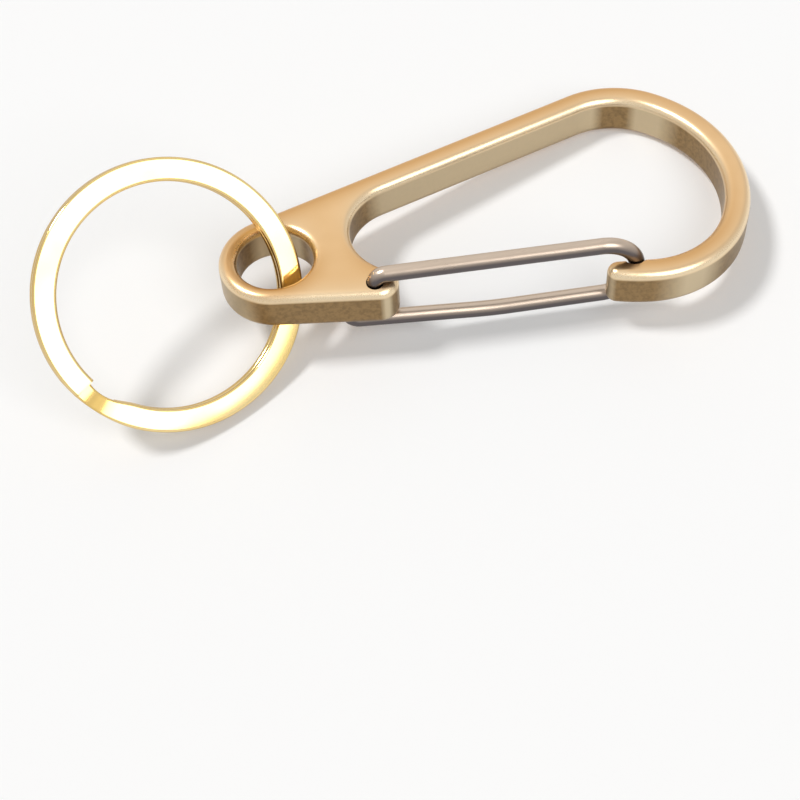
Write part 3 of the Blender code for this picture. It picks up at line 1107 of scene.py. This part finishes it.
@dataclass
class SplitRing:
    """Flat strip wound twice, with the crank where it changes layer."""

    radius: float = 0.0150
    band: float = 0.0026
    strip_thickness: float = 0.00095
    strip_gap: float = 0.0001
    strip_rounding: float = 0.00035
    in_hole: float = 0.00125
    lean: float = 49.0
    pitch: float = 9.0
    yaw: float = 10.0
    crank_angle: float = 222.0
    crank_sweep: float = 13.0
    end_sweep: float = 1.5
    neck_sweep: float = 18.0
    neck_share: float = 0.28
    neck_shift: float = 0.0003
    crank_shine: float = 12.0
    # Upward normal, either way, at which the painted side shade starts and where it is full
    side_shade_band: Band = (0.85, 0.35)
    strip_step: float = 1.5
    rounding_steps: int = 4
    finish: GoldPlate = field(default_factory=GoldPlate)

    def frame(self) -> Matrix:
        """Ring's own frame, with x towards the eye and z along the ring's axis.

        Returns:
            Matrix from the ring's frame to the body's.
        """
        pitch, yaw, lean = (math.radians(angle) for angle in (self.pitch, self.yaw, self.lean))
        to_eye = Vector((*polar(self.yaw), 0)) * math.cos(pitch) - Vector((0, 0, math.sin(pitch)))
        through = Matrix.Rotation(lean, 3, to_eye) @ Vector((-math.sin(yaw), math.cos(yaw), 0))
        turn = Matrix((to_eye, through, to_eye.cross(through))).transposed().to_4x4()
        centre = Vector((self.in_hole, 0, 0)) - to_eye * (self.radius - self.band / 2)
        return Matrix.Translation(centre) @ turn

    def height(self, angle: float) -> float:
        """Height of the strip's middle: on the lower layer, smoothly up the crank, then on the upper layer.

        Args:
            angle: Angle along the strip.

        Returns:
            The height above the ring's middle.
        """
        climb = held((angle - FULL_TURN - self.crank_angle + self.crank_sweep / 2) / self.crank_sweep)
        return (self.strip_thickness + self.strip_gap) * (climb * climb * (3 - 2 * climb) - 1 / 2)

    def neck(self, angle: float) -> float:
        """How far the strip is narrowed at an angle: 1 in the crank and at the start under it, fading to 0."""
        away = min(abs(angle - self.crank_angle), abs(angle - FULL_TURN - self.crank_angle)) / self.neck_sweep
        return fading(away)

    def angles(self) -> list[float]:
        """Angles along the strip's two turns.

        Returns:
            The angles in order, evenly spaced.
        """
        start = self.crank_angle + self.crank_sweep / 2 + self.end_sweep
        end = self.crank_angle + 2 * FULL_TURN - self.crank_sweep / 2 - self.end_sweep
        count = math.ceil((end - start) / self.strip_step)
        return [start + (end - start) * i / count for i in range(count + 1)]

    def section(self) -> list[Vector]:
        """Section of the strip, with rounded corners.

        Returns:
            Points round the section.
        """
        half = Vector((self.band / 2 - self.strip_rounding, self.strip_thickness / 2 - self.strip_rounding))
        points: list[Vector] = []
        for across, up, quarter in ((1, 1, 0), (-1, 1, 1), (-1, -1, 2), (1, -1, 3)):
            start = quarter * RIGHT_ANGLE
            centre = Vector((across * half.x, up * half.y))
            corner = Arc(centre, self.strip_rounding, start, start + RIGHT_ANGLE)
            points += corner.points(RIGHT_ANGLE / self.rounding_steps)
        return points

    def build(self) -> bpy.types.Object:
        """Finished ring.

        Returns:
            The ring's object, in the body's frame.
        """
        section = curve_of("strip_section", [self.section()], closed=True, flat=True)
        middle, angles = self.radius - self.band / 2, self.angles()
        route = [Vector((*polar(a, middle + self.neck_shift * self.neck(a)), self.height(a))) for a in angles]
        curve = curve_of("wound_ring", [route], closed=False)
        for point, angle in zip(curve.data.splines[0].points, angles):
            point.radius = 1 - self.neck_share * self.neck(angle)
        curve.data.twist_mode = "Z_UP"
        curve.data.bevel_mode = "OBJECT"
        curve.data.bevel_object = section
        ring = mesh_from(curve)
        bpy.data.objects.remove(section)
        # Painted shade on the strip's sides
        store(ring.data, Mark.SIDE, [share_of(self.side_shade_band, abs(v.normal.z)) for v in ring.data.vertices])
        turns = [angle_of(vertex.co) % FULL_TURN - self.crank_angle for vertex in ring.data.vertices]
        store(ring.data, Mark.CRANK, [fading(turn / self.crank_shine) for turn in turns])
        ring.matrix_world = self.frame()
        return ring

    def dress(self, ring: bpy.types.Object) -> None:
        """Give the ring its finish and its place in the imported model."""
        set_off(ring, Body.RING, Node.RING, self.finish.material())


# Studio


@dataclass(frozen=True)
class Softbox:
    """Distant soft light, as wide as seen from the object."""

    name: str
    azimuth: float
    elevation: float
    width: float
    brightness: float
    colour: Colour = (1.0, 1.0, 1.0)

    def build(self) -> None:
        """Add the light; its strength follows from its width, so that it looks as bright as named."""
        light = bpy.data.lights.new(self.name, "SUN")
        light.angle = math.radians(self.width)
        light.energy = self.brightness * math.pi * math.sin(math.radians(self.width / 2)) ** 2
        light.color = self.colour
        made = linked(self.name, light)
        level = math.radians(self.elevation)
        towards = Vector((*polar(self.azimuth, math.cos(level)), math.sin(level)))
        made.rotation_mode = "QUATERNION"
        made.rotation_quaternion = towards.to_track_quat("Z", "Y")


@dataclass
class Studio:
    """Plain pale floor, white backdrop, soft lights and the camera."""

    floor_size: float = 30.0
    floor_colour: Colour = (0.94, 0.937, 0.93)
    floor_glow: float = 0.15
    ambient: float = 0.35
    horizon: float = 1.0
    ceiling: float = 0.92
    ceiling_band: Band = (0.15, 0.8)
    camera_place: Triple = (-0.00862, -0.11855, 0.13012)
    camera_aim: Triple = (0.009172, -0.021245, 0.0)
    camera_roll: float = 3.839
    lens: float = 70.313
    near_limit: float = 0.005
    lights: tuple[Softbox, ...] = (
        Softbox("key_softbox", 150.0, 60.0, 12.0, 50.0),
        Softbox("back_softbox", 76.0, 42.0, 60.0, 0.2),
        Softbox("front_softbox", 300.0, 50.0, 40.0, 2.6),
    )

    def floor(self) -> None:
        """Add the floor, level with the lowest point of the object."""
        mesh = bpy.data.meshes.new("floor")
        with edited(mesh) as shape:
            bmesh.ops.create_grid(shape, x_segments=1, y_segments=1, size=self.floor_size / 2)
        sheet = Sheet.for_material("floor")
        lit = sheet.node("ShaderNodeBsdfDiffuse", {}, {"Color": (*self.floor_colour, 1.0)})
        white = sheet.node("ShaderNodeEmission", {}, {"Strength": 1.0})
        sheet.finish(sheet.node("ShaderNodeMixShader", {}, {0: sheet.seen() * self.floor_glow, 1: lit, 2: white}))
        mesh.materials.append(sheet.owner)
        made = linked("floor", mesh)

    def backdrop(self) -> None:
        """White surroundings for what the camera sees, and a plain soft light for the rest."""
        bpy.context.scene.world = bpy.data.worlds.new("studio")
        sheet = Sheet(bpy.context.scene.world)
        towards = sheet.node("ShaderNodeTexCoord", {}, {}, "Generated")
        level = sheet.node("ShaderNodeSeparateXYZ", {}, {0: towards}, "Z")
        white = sheet.within(level, self.ceiling_band, self.horizon, self.ceiling)
        seen = sheet.seen()
        strength = seen * white + (1.0 - seen) * self.ambient
        sheet.finish(sheet.node("ShaderNodeBackground", {}, {"Strength": strength}))

    def camera(self, place: Matrix) -> None:
        """Add the camera where the photograph was taken from.

        Args:
            place: Frame of the carabiner's body.
        """
        data = bpy.data.cameras.new("camera")
        data.lens = self.lens
        data.clip_start = self.near_limit
        made = linked("camera", data)
        eye = Vector(self.camera_place)
        back = eye - Vector(self.camera_aim)
        turn = back.to_track_quat("Z", "Y").to_matrix().to_4x4()
        roll = Matrix.Rotation(-math.radians(self.camera_roll), 4, "Z")
        made.matrix_world = place @ Matrix.Translation(eye) @ turn @ roll
        bpy.context.scene.camera = made

    def build(self, place: Matrix) -> None:
        """Set up the whole studio round the object.

        Args:
            place: Frame of the carabiner's body.
        """
        bpy.context.scene.view_settings.view_transform = "Standard"
        self.floor()
        self.backdrop()
        for light in self.lights:
            light.build()
        self.camera(place)


def body_place(record: Mapping[str, object], body: BrassBody, ring: SplitRing) -> Matrix:
    """Frame of the carabiner's body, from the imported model's two face mounts and the ring's hinge.

    Args:
        record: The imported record.
        body: Body whose two faces carry the mounts.
        ring: Ring whose hinge starts in the eye's hole.

    Returns:
        Matrix from the body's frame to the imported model's.
    """
    mount = Vector(body.face_mount)
    entries = [*record["mounts"], *record["behaviour"]["joints"]]
    places = {entry["name"]: Vector(entry["pos_m"]) for entry in entries}
    top, bottom, hinge = (places[name] for name in ("top_face", "bottom_face", "ring_swing"))
    up, middle = (top - bottom).normalized(), (top + bottom) / 2
    known = hinge - middle
    known = (known - up * known.dot(up)).normalized()
    drawn = angle_of(Vector((ring.in_hole, 0)) - mount)
    along = Matrix.Rotation(-math.radians(drawn), 3, up) @ known
    across = up.cross(along)
    turn = Matrix((along, across, up)).transposed().to_4x4()
    return Matrix.Translation(middle - along * mount.x - across * mount.y) @ turn


def main() -> None:
    """Build and dress every piece and set up the studio."""
    logging.basicConfig(level=logging.INFO, format="%(name)s: %(message)s")
    body = BrassBody()
    gate, ring = WireGate(body), SplitRing()
    place = body_place(frame["record"], body, ring)
    for part, piece in ((body, body.build(gate)), (gate, gate.build()), (ring, ring.build())):
        piece.matrix_world = place @ piece.matrix_world
        part.dress(piece)
    Studio().build(place)


if __name__ == "__main__":
    main()
